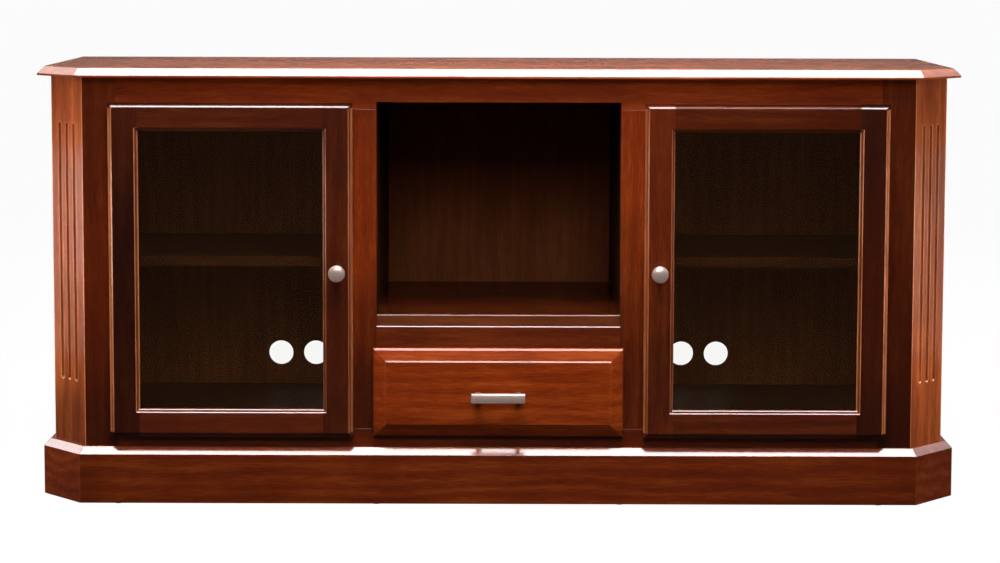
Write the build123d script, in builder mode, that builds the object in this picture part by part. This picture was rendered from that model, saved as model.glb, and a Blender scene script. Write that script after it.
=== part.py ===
from build123d import *
import os

os.makedirs("parts", exist_ok=True)

# Whole stand, in millimetres: X runs left to right, the front faces -Y, the floor is z = 0
top_width = 1762
total_height = 827.5
body_depth = 485
corner_cut = 71

# Top board
top_thickness = 17.5
top_overhang = 25
top_back_overhang = 5
top_bevel = 13.5

# Case panels
panel_thickness = 19
back_thickness = 6
back_rabbet = 9.5
partition_thickness = 19
floor_height = 141.5
deck_thickness = 19
deck_lap = 4
deck_rounding = 2
cleat_size = 19
stretcher_width = 70

# Face frame
frame_thickness = 20
stile_width = 63
mullion_width = 57
bay_width = 462
bay_rail_depth = 46
door_rail_depth = 60
middle_rail_bottom = 285
middle_rail_top = 339
rail_rounding = 3
bottom_rail_foot = 40

# Fluted corner posts
post_edge = 26
flute_radius = 5
flute_depth = 4
flute_pitch = 22.6
flute_foot_rise = 119.5
flute_head_drop = 88

# Skirting and floor glides
skirt_height = 107.5
skirt_thickness = 21
skirt_bevel = 13
glide_height = 1
glide_radius = 9

# Wire holes in the back panel
wire_hole_radius = 25.4
wire_hole_height = 206.5
wire_hole_offsets = (134, 207)

# Shelves and their pins
shelf_thickness = 19
shelf_setback = 80
shelf_back_gap = 6
shelf_side_gap = 1
shelf_height = 440
pin_radius = 2.5
pin_in = 10
pin_out = 8
pin_row_pitch = 32
pin_row_count = 3
pin_inset = 45

# Doors
door_thickness = 20
door_gap = 3
overlay = 12.7
door_stile_width = 56
door_rail_width = 53
edge_lip = 3.8
edge_lip_depth = 6.5
edge_bead_radius = 6
sticking_ledge = 4.5
sticking_depth = 4
sticking_radius = 3.5
glass_depth = 10.5
glass_thickness = 4
glass_lap = 9
glass_gap = 1
stop_width = 8.5

# Knobs
knob_radius = 15.9
knob_reach = 28
knob_base_radius = 8
knob_neck_radius = 5.5
knob_neck_reach = 9
knob_rim_reach = 18.5
knob_rim_front = 24.5
knob_edge_bevel = 2.2
knob_dome_radius = 9
knob_height = 444
stud_radius = 2.5
stud_length = 13

# Concealed hinges
hinge_inset = 90
pin_edge_distance = 7
pin_depth = 9
hinge_pin_radius = 1.25
hinge_pin_length = 18
running_gap = 0.05
eye_radius = 2.1
arm_reach = 13
arm_thickness = 2
arm_width = 10
arm_base_start = 1
arm_base_width = 18
arm_flange_thickness = 1.5
arm_flange_length = 48
arm_flange_end_gap = 1
cup_radius = 17.5
cup_edge_distance = 3
cup_floor = 0.7
cup_slot_gap = 0.6
cup_slot_end_gap = 1
cup_slot_edge_gap = 1.2
cup_flange_thickness = 1.2
cup_flange_width = 37
cup_flange_length = 54
cup_fit = 0.1
hinge_screw_spacing = 34
hinge_screw_radius = 1.6
hinge_screw_length = 14
hinge_screw_head_radius = 3.5
hinge_screw_head = 1.8

# Drawer
drawer_gap = 1.5
drawer_front_thickness = 20
drawer_side_overlay = 6
drawer_field_inset = 25
drawer_field_edge = 2.5
drawer_bevel_drop = 5
drawer_outer_edge = 3.5
box_side_thickness = 12
box_height = 110
box_length = 425
box_foot = 157
box_bottom_thickness = 6
box_bottom_rise = 10
groove_depth = 6
groove_fit = 0.2
slide_space = 12.7

# Drawer slides
slide_length = 400
slide_setback = 2
outer_height = 45
slide_running_gap = 0.3
slide_wall = 1.4
outer_flange = 8.5
middle_flange = 5
inner_flange = 6
middle_web_gap = 2.2

# Bar pull and its screws
pull_length = 102
pull_height = 19
pull_thickness = 6
pull_rounding = 2
pull_spacing = 76
pull_post_width = 10.4
pull_drop = 5
pull_post_reach = 20
pull_screw_radius = 2
pull_screw_bite = 8
pull_screw_head_radius = 4
pull_screw_head = 2.5

# Screws that hold the top
top_screw_radius = 2
top_screw_bite = 11
top_screw_head_radius = 4
top_screw_head = 2.2
top_screw_in = 137
top_screw_out = 70

# Faces round a shank, a pin or a glide, the clearance round every screw and pin, and the overrun of every cut
shank_sides = 8
hole_gap = 0.1
overrun = 1

# Planes and edges worked out from the sizes above
turn_share = 2**0.5 - 1
front_reach = door_gap + door_thickness + knob_reach
face_y = (front_reach - body_depth) / 2
top_back = face_y + body_depth
case_back = top_back - top_back_overhang
panel_front = case_back - back_thickness
frame_back = face_y + frame_thickness
case_half = top_width / 2 - top_overhang
face_half = case_half - corner_cut
inner_half = case_half - panel_thickness
side_front = face_y + corner_cut
post_inner_x = case_half - post_edge
case_top = total_height - top_thickness
bay_top = case_top - bay_rail_depth
door_opening_top = case_top - door_rail_depth
flute_foot = skirt_height + flute_foot_rise
flute_head = case_top - flute_head_drop
stretcher_foot = case_top - panel_thickness
bay_half = bay_width / 2
stile_edge = face_half - stile_width
mullion_edge = bay_half + mullion_width
partition_half = bay_half + partition_thickness
top_screw_places = (partition_half + top_screw_out, inner_half - top_screw_in)
wire_hole_places = [partition_half + offset for offset in wire_hole_offsets]
deck_top = middle_rail_top + deck_thickness

door_back = face_y - door_gap
door_front = door_back - door_thickness
door_outer = stile_edge + overlay
door_inner = mullion_edge - overlay
door_width = door_outer - door_inner
door_middle = (door_outer + door_inner) / 2
door_foot = floor_height - overlay
door_head = door_opening_top + overlay
door_height = door_head - door_foot
door_centre_z = (door_head + door_foot) / 2
sight_width = door_width - 2 * door_stile_width
sight_height = door_height - 2 * door_rail_width
hinge_heights = (door_foot + hinge_inset, door_head - hinge_inset)
pivot_x = door_outer - pin_edge_distance
pivot_y = door_back - pin_depth

sides = ((-1, "left"), (1, "right"))


def finish(piece, name):
    """Label a finished piece and write it to its own file."""
    piece.part.label = name
    export_step(piece.part, f"parts/{name}.step")


def block(xs, ys, zs, mode=Mode.ADD):
    """A rectangular block between two limits along each axis."""
    with Locations(((xs[0] + xs[1]) / 2, (ys[0] + ys[1]) / 2, (zs[0] + zs[1]) / 2)):
        Box(abs(xs[1] - xs[0]), abs(ys[1] - ys[0]), abs(zs[1] - zs[0]), mode=mode)


def rod(radius, foot, direction, length, mode=Mode.ADD):
    """A round rod or bore that starts at a foot point and runs in one direction."""
    with BuildSketch(Plane(foot, z_dir=direction)) as disc:
        Circle(radius)
    extrude(disc.sketch, amount=length, mode=mode)


def shank(radius, foot, direction, length, mode=Mode.ADD):
    """A small rod with a few flat sides, or the hole for one: a screw's shank, a shelf pin or a glide."""
    with BuildSketch(Plane(foot, z_dir=direction)) as polygon:
        RegularPolygon(radius, shank_sides)
    extrude(polygon.sketch, amount=length, mode=mode)


def outline(reach, back):
    """Half plan outline of the clipped front, set out from the case by a reach."""
    side = case_half + reach
    return (
        (0, face_y - reach),
        (face_half + turn_share * reach, face_y - reach),
        (side, side_front - turn_share * reach),
        (side, back),
        (0, back),
    )


# Top board: clipped corners, bevelled along the front, the clips and the sides
with BuildPart() as top_board:
    with BuildSketch(Plane.XY.offset(case_top)):
        with BuildLine():
            Polyline(*outline(top_overhang, top_back), close=True)
        make_face()
        mirror(about=Plane.YZ)
    extrude(amount=top_thickness)
    upper_face = top_board.faces().sort_by(Axis.Z)[-1]
    chamfer(upper_face.edges().sort_by(Axis.Y)[:-1], top_bevel)
    for x in top_screw_places:
        for side, _ in sides:
            for y in (frame_back + stretcher_width / 2, panel_front - stretcher_width / 2):
                shank(
                    top_screw_radius + hole_gap,
                    (side * x, y, case_top),
                    (0, 0, 1),
                    top_screw_bite + hole_gap,
                    mode=Mode.SUBTRACT,
                )
finish(top_board, "top_board")

# Corner posts: solid, at 45 degrees between face frame and side panel, three stopped flutes each
post_middle = (face_half + corner_cut / 2, face_y + corner_cut / 2)
flute_offset = (flute_radius - flute_depth) / 2**0.5
flute_step = flute_pitch / 2**0.5
for side, hand in sides:
    with BuildPart() as post:
        with BuildSketch(Plane.XY.offset(glide_height)):
            with BuildLine():
                Polyline(
                    (side * face_half, face_y),
                    (side * case_half, side_front),
                    (side * post_inner_x, side_front),
                    (side * face_half, face_y + post_edge),
                    close=True,
                )
            make_face()
        extrude(amount=case_top - glide_height)
        for place in (-1, 0, 1):
            flute_x = side * (post_middle[0] + flute_offset + place * flute_step)
            flute_y = post_middle[1] - flute_offset + place * flute_step
            rod(
                flute_radius,
                (flute_x, flute_y, flute_foot + flute_radius),
                (0, 0, 1),
                flute_head - flute_foot - 2 * flute_radius,
                mode=Mode.SUBTRACT,
            )
            for z in (flute_foot + flute_radius, flute_head - flute_radius):
                with Locations((flute_x, flute_y, z)):
                    Sphere(flute_radius, mode=Mode.SUBTRACT)
    finish(post, f"corner_post_{hand}")

# Face frame: stiles with bores for the hinge screws, mullions and rails
for side, hand in sides:
    with BuildPart() as stile:
        block((side * stile_edge, side * face_half), (face_y, frame_back), (glide_height, case_top))
        for height in hinge_heights:
            for end in (-1, 1):
                shank(
                    hinge_screw_radius + hole_gap,
                    (
                        side * stile_edge,
                        face_y + frame_thickness / 2,
                        height + end * hinge_screw_spacing / 2,
                    ),
                    (side, 0, 0),
                    hinge_screw_length + hole_gap,
                    mode=Mode.SUBTRACT,
                )
    finish(stile, f"face_stile_{hand}")

    with BuildPart() as mullion:
        block(
            (side * bay_half, side * mullion_edge),
            (face_y, frame_back),
            (floor_height, door_opening_top),
        )
    finish(mullion, f"face_mullion_{hand}")

with BuildPart() as rail_top:
    block((-stile_edge, stile_edge), (face_y, frame_back), (door_opening_top, case_top))
    block(
        (-bay_half, bay_half),
        (face_y - overrun, frame_back + overrun),
        (door_opening_top - overrun, bay_top),
        mode=Mode.SUBTRACT,
    )
finish(rail_top, "face_rail_top")

with BuildPart() as rail_middle:
    block((-bay_half, bay_half), (face_y, frame_back), (middle_rail_bottom, middle_rail_top))
    front_edge = rail_middle.faces().sort_by(Axis.Y)[0].edges().sort_by(Axis.Z)[-1]
    fillet(front_edge, rail_rounding)
finish(rail_middle, "face_rail_middle")

with BuildPart() as rail_bottom:
    block((-stile_edge, stile_edge), (face_y, frame_back), (bottom_rail_foot, floor_height))
finish(rail_bottom, "face_rail_bottom")

# Side panels, rabbeted for the back panel and drilled for the shelf pins
pin_heights = [
    shelf_height - pin_radius + (row - (pin_row_count - 1) / 2) * pin_row_pitch
    for row in range(pin_row_count)
]
shelf_front = frame_back + shelf_setback
shelf_back = panel_front - shelf_back_gap
pin_lines = (shelf_front + pin_inset, shelf_back - pin_inset)
for side, hand in sides:
    with BuildPart() as panel:
        block((side * inner_half, side * case_half), (side_front, case_back), (glide_height, case_top))
        block(
            (side * (inner_half - overrun), side * (inner_half + back_rabbet)),
            (panel_front, case_back + overrun),
            (floor_height - panel_thickness, case_top + overrun),
            mode=Mode.SUBTRACT,
        )
        for y in pin_lines:
            for z in pin_heights:
                shank(
                    pin_radius + hole_gap,
                    (side * inner_half, y, z),
                    (side, 0, 0),
                    pin_in + hole_gap,
                    mode=Mode.SUBTRACT,
                )
    finish(panel, f"side_panel_{hand}")

    with BuildPart() as partition:
        block(
            (side * bay_half, side * partition_half),
            (frame_back, panel_front),
            (floor_height, stretcher_foot),
        )
        for y in pin_lines:
            for z in pin_heights:
                shank(
                    pin_radius + hole_gap,
                    (side * partition_half, y, z),
                    (-side, 0, 0),
                    pin_in + hole_gap,
                    mode=Mode.SUBTRACT,
                )
    finish(partition, f"partition_{hand}")

# Bottom board, cut round the posts
bottom_outline = (
    (0, frame_back),
    (face_half, frame_back),
    (face_half, face_y + post_edge),
    (post_inner_x, side_front),
    (inner_half, side_front),
    (inner_half, panel_front),
    (0, panel_front),
)
with BuildPart() as bottom_board:
    with BuildSketch(Plane.XY.offset(floor_height - panel_thickness)):
        with BuildLine():
            Polyline(*bottom_outline, close=True)
        make_face()
        mirror(about=Plane.YZ)
    extrude(amount=panel_thickness)
finish(bottom_board, "bottom_board")

# Deck of the open bay, resting on the middle rail in front and on a cleat at each side
with BuildPart() as deck:
    block((-bay_half, bay_half), (frame_back - deck_lap, panel_front), (middle_rail_top, deck_top))
    fillet(deck.faces().sort_by(Axis.Y)[0].edges().sort_by(Axis.Z)[-1], deck_rounding)
finish(deck, "bay_deck")

with BuildPart() as cleats:
    for side, _ in sides:
        block(
            (side * (bay_half - cleat_size), side * bay_half),
            (frame_back, panel_front),
            (middle_rail_top - cleat_size, middle_rail_top),
        )
finish(cleats, "deck_cleats")

# Back panel: one sheet in the rabbets, with two wire holes behind each door bay
with BuildPart() as back_panel:
    block(
        (-inner_half - back_rabbet, inner_half + back_rabbet),
        (panel_front, case_back),
        (floor_height - panel_thickness, case_top),
    )
    for side, _ in sides:
        for x in wire_hole_places:
            rod(
                wire_hole_radius,
                (side * x, panel_front - overrun, wire_hole_height),
                (0, 1, 0),
                back_thickness + 2 * overrun,
                mode=Mode.SUBTRACT,
            )
finish(back_panel, "back_panel")

# Stretchers that tie the sides at the top and hold the top board's screws
with BuildPart() as stretchers:
    with BuildSketch(Plane.XY.offset(stretcher_foot)):
        with BuildLine():
            Polyline(
                *bottom_outline[:5],
                (inner_half, frame_back + stretcher_width),
                (0, frame_back + stretcher_width),
                close=True,
            )
        make_face()
        mirror(about=Plane.YZ)
    extrude(amount=panel_thickness)
    block(
        (-inner_half, inner_half),
        (panel_front - stretcher_width, panel_front),
        (stretcher_foot, case_top),
    )
    for x in top_screw_places:
        for side, _ in sides:
            for y in (frame_back + stretcher_width / 2, panel_front - stretcher_width / 2):
                shank(
                    top_screw_radius + hole_gap,
                    (side * x, y, stretcher_foot - overrun),
                    (0, 0, 1),
                    panel_thickness + 2 * overrun,
                    mode=Mode.SUBTRACT,
                )
finish(stretchers, "top_stretchers")

with BuildPart() as top_screws:
    for x in top_screw_places:
        for side, _ in sides:
            for y in (frame_back + stretcher_width / 2, panel_front - stretcher_width / 2):
                shank(
                    top_screw_radius,
                    (side * x, y, stretcher_foot),
                    (0, 0, 1),
                    panel_thickness + top_screw_bite,
                )
                shank(top_screw_head_radius, (side * x, y, stretcher_foot), (0, 0, -1), top_screw_head)
finish(top_screws, "top_screws")

# Skirting: mitred boards round the front, the clips and the sides, bevelled at the top outside
skirt_inner = outline(0, case_back)
skirt_outer = outline(skirt_thickness, case_back)


def skirt_board(inner, outer):
    """One skirting board between two plan points inside and two outside."""
    with BuildSketch(Plane.XY.offset(glide_height)) as plan:
        with BuildLine():
            Polyline(inner[0], inner[1], outer[1], outer[0], close=True)
        make_face()
    extrude(plan.sketch, amount=skirt_height - glide_height)


with BuildPart() as skirt_front:
    skirt_board(
        ((-skirt_inner[1][0], skirt_inner[1][1]), skirt_inner[1]),
        ((-skirt_outer[1][0], skirt_outer[1][1]), skirt_outer[1]),
    )
    chamfer(skirt_front.faces().sort_by(Axis.Z)[-1].edges().sort_by(Axis.Y)[0], skirt_bevel)
finish(skirt_front, "base_front")

for side, hand in sides:
    corner_in = [(side * p[0], p[1]) for p in skirt_inner[1:3]]
    corner_out = [(side * p[0], p[1]) for p in skirt_outer[1:3]]
    with BuildPart() as skirt_corner:
        skirt_board(corner_in, corner_out)
        clip_normal = Axis((0, 0, 0), (side, -1, 0))
        chamfer(skirt_corner.faces().sort_by(Axis.Z)[-1].edges().sort_by(clip_normal)[-1], skirt_bevel)
    finish(skirt_corner, f"base_corner_{hand}")

    side_in = [(side * p[0], p[1]) for p in skirt_inner[2:4]]
    side_out = [(side * p[0], p[1]) for p in skirt_outer[2:4]]
    with BuildPart() as skirt_side:
        skirt_board(side_in, side_out)
        side_normal = Axis((0, 0, 0), (side, 0, 0))
        chamfer(skirt_side.faces().sort_by(Axis.Z)[-1].edges().sort_by(side_normal)[-1], skirt_bevel)
    finish(skirt_side, f"base_side_{hand}")

with BuildPart() as skirt_back:
    block(
        (-inner_half, inner_half),
        (panel_front - panel_thickness, panel_front),
        (glide_height, floor_height - panel_thickness),
    )
finish(skirt_back, "base_back")

# Floor glides under the skirting
glide_y = face_y - skirt_thickness / 2
glide_x = case_half + skirt_thickness / 2
glide_places = (
    (bay_half, glide_y),
    (stile_edge, glide_y),
    (glide_x, case_back - corner_cut),
    (mullion_edge, panel_front - panel_thickness / 2),
)
with BuildPart() as glides:
    for x, y in glide_places:
        for side, _ in sides:
            shank(glide_radius, (side * x, y, 0), (0, 0, 1), glide_height)
finish(glides, "floor_glides")

# Adjustable shelves and their pins
for side, hand in sides:
    with BuildPart() as shelf:
        block(
            (side * (partition_half + shelf_side_gap), side * (inner_half - shelf_side_gap)),
            (shelf_front, shelf_back),
            (shelf_height, shelf_height + shelf_thickness),
        )
    finish(shelf, f"shelf_{hand}")

with BuildPart() as shelf_pins:
    for side, _ in sides:
        for y in pin_lines:
            for x, way in ((partition_half, side), (inner_half, -side)):
                shank(
                    pin_radius,
                    (side * x - way * pin_in, y, shelf_height - pin_radius),
                    (way, 0, 0),
                    pin_in + pin_out,
                )
finish(shelf_pins, "shelf_pins")

# Hinge arms on the edge of the face frame: flange, base block, neck, hook and eye
with BuildPart() as arms:
    for side, _ in sides:
        for z in hinge_heights:
            hook_end = pivot_x - arm_reach - arm_thickness / 2
            base_ys = (face_y + arm_base_start, frame_back - arm_flange_end_gap)
            block(
                (side * stile_edge, side * (stile_edge - arm_flange_thickness)),
                base_ys,
                (z - arm_flange_length / 2, z + arm_flange_length / 2),
            )
            block(
                (side * stile_edge, side * hook_end),
                base_ys,
                (z - arm_base_width / 2, z + arm_base_width / 2),
            )
            block(
                (side * hook_end, side * (hook_end + arm_thickness)),
                (pivot_y - arm_thickness / 2, base_ys[0] + arm_thickness),
                (z - arm_width / 2, z + arm_width / 2),
            )
            block(
                (side * hook_end, side * pivot_x),
                (pivot_y - arm_thickness / 2, pivot_y + arm_thickness / 2),
                (z - arm_width / 2, z + arm_width / 2),
            )
            rod(eye_radius, (side * pivot_x, pivot_y, z - arm_width / 2), (0, 0, 1), arm_width)
            rod(
                hinge_pin_radius + running_gap,
                (side * pivot_x, pivot_y, z - arm_width / 2 - overrun),
                (0, 0, 1),
                arm_width + 2 * overrun,
                mode=Mode.SUBTRACT,
            )
            for end in (-1, 1):
                shank(
                    hinge_screw_radius + hole_gap,
                    (
                        side * (stile_edge + overrun),
                        face_y + frame_thickness / 2,
                        z + end * hinge_screw_spacing / 2,
                    ),
                    (-side, 0, 0),
                    arm_flange_thickness + 2 * overrun,
                    mode=Mode.SUBTRACT,
                )
finish(arms, "hinge_arms")

with BuildPart() as hinge_pins:
    for side, _ in sides:
        for z in hinge_heights:
            rod(
                hinge_pin_radius,
                (side * pivot_x, pivot_y, z - hinge_pin_length / 2),
                (0, 0, 1),
                hinge_pin_length,
            )
finish(hinge_pins, "hinge_pins")

with BuildPart() as hinge_screws:
    for side, _ in sides:
        for z in hinge_heights:
            for end in (-1, 1):
                seat = (
                    side * (stile_edge - arm_flange_thickness),
                    face_y + frame_thickness / 2,
                    z + end * hinge_screw_spacing / 2,
                )
                shank(hinge_screw_radius, seat, (side, 0, 0), arm_flange_thickness + hinge_screw_length)
                rod(hinge_screw_head_radius, seat, (-side, 0, 0), hinge_screw_head)
finish(hinge_screws, "hinge_screws")

# Doors: one profiled frame each, parted into stiles and rails
cup_x = door_outer - cup_edge_distance - cup_radius
cup_bottom = pivot_y - eye_radius - cup_slot_gap - cup_floor
lip_plane = door_front + edge_lip_depth
ledge_plane = door_front + sticking_depth
knob_x = door_inner + door_stile_width / 2
for side, hand in sides:
    middle = (side * door_middle, door_centre_z)
    with BuildPart() as door_frame:
        with BuildSketch(Plane.XZ.offset(-door_back)):
            with Locations(middle):
                Rectangle(door_width, door_height)
                Rectangle(sight_width, sight_height, mode=Mode.SUBTRACT)
        extrude(amount=door_back - lip_plane)
        with BuildSketch(Plane.XZ.offset(-lip_plane)):
            with Locations(middle):
                Rectangle(door_width - 2 * edge_lip, door_height - 2 * edge_lip)
                Rectangle(sight_width, sight_height, mode=Mode.SUBTRACT)
        extrude(amount=lip_plane - ledge_plane)
        fillet(door_frame.faces().sort_by(Axis.Y)[0].inner_wires()[0].edges(), sticking_radius)
        with BuildSketch(Plane.XZ.offset(-ledge_plane)):
            with Locations(middle):
                Rectangle(door_width - 2 * edge_lip, door_height - 2 * edge_lip)
                Rectangle(
                    sight_width + 2 * sticking_ledge,
                    sight_height + 2 * sticking_ledge,
                    mode=Mode.SUBTRACT,
                )
        extrude(amount=ledge_plane - door_front)
        fillet(door_frame.faces().sort_by(Axis.Y)[0].inner_wires()[0].edges(), sticking_radius)
        fillet(door_frame.faces().sort_by(Axis.Y)[0].outer_wire().edges(), edge_bead_radius)
        with BuildSketch(Plane.XZ.offset(-door_back)):
            with Locations(middle):
                Rectangle(sight_width + 2 * glass_lap, sight_height + 2 * glass_lap)
        extrude(amount=door_thickness - glass_depth, mode=Mode.SUBTRACT)
        for z in hinge_heights:
            rod(
                cup_radius,
                (side * cup_x, door_back, z),
                (0, -1, 0),
                door_back - cup_bottom,
                mode=Mode.SUBTRACT,
            )
        shank(
            stud_radius + hole_gap,
            (side * knob_x, door_front, knob_height),
            (0, 1, 0),
            stud_length + hole_gap,
            mode=Mode.SUBTRACT,
        )

    whole_ys = (door_front - overrun, door_back + overrun)
    stile_zs = (door_foot - overrun, door_head + overrun)
    sight_left = door_middle - sight_width / 2
    sight_right = door_middle + sight_width / 2
    sight_foot = door_foot + door_rail_width
    sight_head = door_head - door_rail_width
    members = {
        "hinge_stile": ((sight_right, door_outer + overrun), stile_zs),
        "knob_stile": ((door_inner - overrun, sight_left), stile_zs),
        "top_rail": ((sight_left, sight_right), (sight_head - glass_lap, stile_zs[1])),
        "bottom_rail": ((sight_left, sight_right), (stile_zs[0], sight_foot + glass_lap)),
    }
    for member, (xs, zs) in members.items():
        with BuildPart() as door_member:
            add(door_frame.part)
            block((side * xs[0], side * xs[1]), whole_ys, zs, mode=Mode.INTERSECT)
        finish(door_member, f"{hand}_door_{member}")

    glass_back = door_front + glass_depth + glass_thickness
    pane_half = sight_width / 2 + glass_lap - glass_gap
    pane_rise = sight_height / 2 + glass_lap - glass_gap
    with BuildPart() as glass:
        block(
            (middle[0] - pane_half, middle[0] + pane_half),
            (door_front + glass_depth, glass_back),
            (middle[1] - pane_rise, middle[1] + pane_rise),
        )
    finish(glass, f"{hand}_door_glass")

    # Four glass stops in the rabbet behind the pane
    frame_half = sight_width / 2 + glass_lap
    frame_rise = sight_height / 2 + glass_lap
    with BuildPart() as stops:
        for way in (-1, 1):
            block(
                (middle[0] - frame_half, middle[0] + frame_half),
                (glass_back, door_back),
                (middle[1] + way * (frame_rise - stop_width), middle[1] + way * frame_rise),
            )
            block(
                (middle[0] + way * (frame_half - stop_width), middle[0] + way * frame_half),
                (glass_back, door_back),
                (
                    middle[1] - frame_rise + stop_width + glass_gap,
                    middle[1] + frame_rise - stop_width - glass_gap,
                ),
            )
    finish(stops, f"{hand}_door_glass_stops")

    # Mushroom knob with its stud, turned about an axis square to the door
    knob_plane = Plane((side * knob_x, door_front, knob_height), x_dir=(1, 0, 0), z_dir=(0, 0, -1))
    with BuildPart() as knob:
        with BuildSketch(knob_plane):
            with BuildLine():
                Polyline(
                    (0, knob_reach),
                    (0, 0),
                    (knob_base_radius, 0),
                    (knob_neck_radius, knob_neck_reach),
                    (knob_radius, knob_rim_reach),
                    (knob_radius, knob_rim_front),
                    (knob_radius - knob_edge_bevel, knob_rim_front + knob_edge_bevel),
                    (knob_dome_radius, knob_reach),
                    close=True,
                )
            make_face()
        revolve(axis=Axis((side * knob_x, door_front, knob_height), (0, -1, 0)))
        shank(stud_radius, (side * knob_x, door_front, knob_height), (0, 1, 0), stud_length)
    finish(knob, f"{hand}_door_knob")

    # Hinge cups: a disc in the stile with a slot for the arm, a bore for the pin and a flange
    with BuildPart() as cups:
        for z in hinge_heights:
            rod(cup_radius - cup_fit, (side * cup_x, door_back, z), (0, -1, 0), door_back - cup_bottom - cup_fit)
            flange_edge = cup_x + cup_flange_width / 2
            block(
                (side * flange_edge, side * (flange_edge - cup_flange_width)),
                (door_back, door_back + cup_flange_thickness),
                (z - cup_flange_length / 2, z + cup_flange_length / 2),
            )
            rod(
                hinge_pin_radius + running_gap,
                (side * pivot_x, pivot_y, z - hinge_pin_length / 2 - hole_gap),
                (0, 0, 1),
                hinge_pin_length + 2 * hole_gap,
                mode=Mode.SUBTRACT,
            )
            slot_half = arm_width / 2 + cup_slot_gap
            block(
                (
                    side * (pivot_x + eye_radius + cup_slot_edge_gap),
                    side * (pivot_x - arm_reach - arm_thickness / 2 - cup_slot_end_gap),
                ),
                (pivot_y - eye_radius - cup_slot_gap, door_back + cup_flange_thickness + overrun),
                (z - slot_half, z + slot_half),
                mode=Mode.SUBTRACT,
            )
    finish(cups, f"{hand}_door_hinge_cups")

# Drawer: applied raised front over a grooved box
drawer_back_plane = face_y - drawer_gap
drawer_face = drawer_back_plane - drawer_front_thickness
drawer_half = bay_half + drawer_side_overlay
drawer_foot = floor_height - overlay
drawer_head = middle_rail_bottom + overlay
drawer_centre_z = (drawer_foot + drawer_head) / 2
drawer_rise = drawer_head - drawer_foot
front_steps = (
    (0, drawer_field_edge + drawer_bevel_drop + drawer_outer_edge),
    (drawer_outer_edge, drawer_field_edge + drawer_bevel_drop),
    (drawer_field_inset - drawer_field_edge, drawer_field_edge),
    (drawer_field_inset, 0),
)
box_half = bay_half - slide_space
box_inner = box_half - box_side_thickness
box_back = drawer_back_plane + box_length
pull_z = drawer_centre_z - pull_drop
pull_xs = (-pull_spacing / 2, pull_spacing / 2)
box_inside = drawer_back_plane + box_side_thickness

with BuildPart() as drawer_front:
    with BuildSketch(Plane.XZ.offset(-drawer_back_plane)):
        with Locations((0, drawer_centre_z)):
            Rectangle(2 * drawer_half, drawer_rise)
    extrude(amount=drawer_front_thickness - front_steps[0][1])
    for inset, depth in front_steps:
        with BuildSketch(Plane.XZ.offset(-(drawer_face + depth))):
            with Locations((0, drawer_centre_z)):
                Rectangle(2 * (drawer_half - inset), drawer_rise - 2 * inset)
    loft(ruled=True)
    for x in pull_xs:
        shank(
            pull_screw_radius + hole_gap,
            (x, drawer_face - overrun, pull_z),
            (0, 1, 0),
            drawer_front_thickness + 2 * overrun,
            mode=Mode.SUBTRACT,
        )
finish(drawer_front, "drawer_front")

groove_zs = (
    box_foot + box_bottom_rise - groove_fit,
    box_foot + box_bottom_rise + box_bottom_thickness + groove_fit,
)
with BuildPart() as box_front:
    block((-box_inner, box_inner), (drawer_back_plane, box_inside), (box_foot, box_foot + box_height))
    block(
        (-box_inner - overrun, box_inner + overrun),
        (box_inside - groove_depth, box_inside + overrun),
        groove_zs,
        mode=Mode.SUBTRACT,
    )
    for x in pull_xs:
        shank(
            pull_screw_radius + hole_gap,
            (x, drawer_back_plane - overrun, pull_z),
            (0, 1, 0),
            box_side_thickness + 2 * overrun,
            mode=Mode.SUBTRACT,
        )
finish(box_front, "drawer_box_front")

for side, hand in sides:
    with BuildPart() as box_side:
        block(
            (side * box_inner, side * box_half),
            (drawer_back_plane, box_back),
            (box_foot, box_foot + box_height),
        )
        block(
            (side * (box_inner - overrun), side * (box_inner + groove_depth)),
            (box_inside - groove_depth, box_back + overrun),
            groove_zs,
            mode=Mode.SUBTRACT,
        )
    finish(box_side, f"drawer_side_{hand}")

with BuildPart() as box_rear:
    block(
        (-box_inner, box_inner),
        (box_back - box_side_thickness, box_back),
        (groove_zs[1], box_foot + box_height),
    )
finish(box_rear, "drawer_box_back")

with BuildPart() as box_bottom:
    block(
        (-box_inner - groove_depth + groove_fit, box_inner + groove_depth - groove_fit),
        (box_inside - groove_depth + groove_fit, box_back),
        (box_foot + box_bottom_rise, box_foot + box_bottom_rise + box_bottom_thickness),
    )
finish(box_bottom, "drawer_bottom")

# Bar pull: a flat bar with rounded edges on two posts
post_foot = drawer_face - pull_post_reach
with BuildPart() as pull:
    block(
        (-pull_length / 2, pull_length / 2),
        (post_foot - pull_thickness, post_foot),
        (pull_z - pull_height / 2, pull_z + pull_height / 2),
    )
    fillet(pull.faces().sort_by(Axis.Y)[0].edges(), pull_rounding)
    for x in pull_xs:
        block(
            (x - pull_post_width / 2, x + pull_post_width / 2),
            (post_foot, drawer_face),
            (pull_z - pull_height / 2, pull_z + pull_height / 2),
        )
        shank(
            pull_screw_radius + hole_gap,
            (x, drawer_face + overrun, pull_z),
            (0, -1, 0),
            pull_screw_bite + hole_gap + overrun,
            mode=Mode.SUBTRACT,
        )
finish(pull, "drawer_pull")

with BuildPart() as pull_screws:
    for x in pull_xs:
        shank(
            pull_screw_radius,
            (x, box_inside, pull_z),
            (0, -1, 0),
            box_side_thickness + drawer_front_thickness + pull_screw_bite,
        )
        rod(pull_screw_head_radius, (x, box_inside, pull_z), (0, 1, 0), pull_screw_head)
finish(pull_screws, "pull_screws")

# Drawer slides: nested channels, the outer on the partition, the inner on the drawer side
slide_z = box_foot + box_height / 2
slide_ys = (frame_back + slide_setback, frame_back + slide_setback + slide_length)
middle_height = outer_height - 2 * (slide_wall + slide_running_gap)
inner_height = middle_height - 2 * (slide_wall + slide_running_gap)


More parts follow.
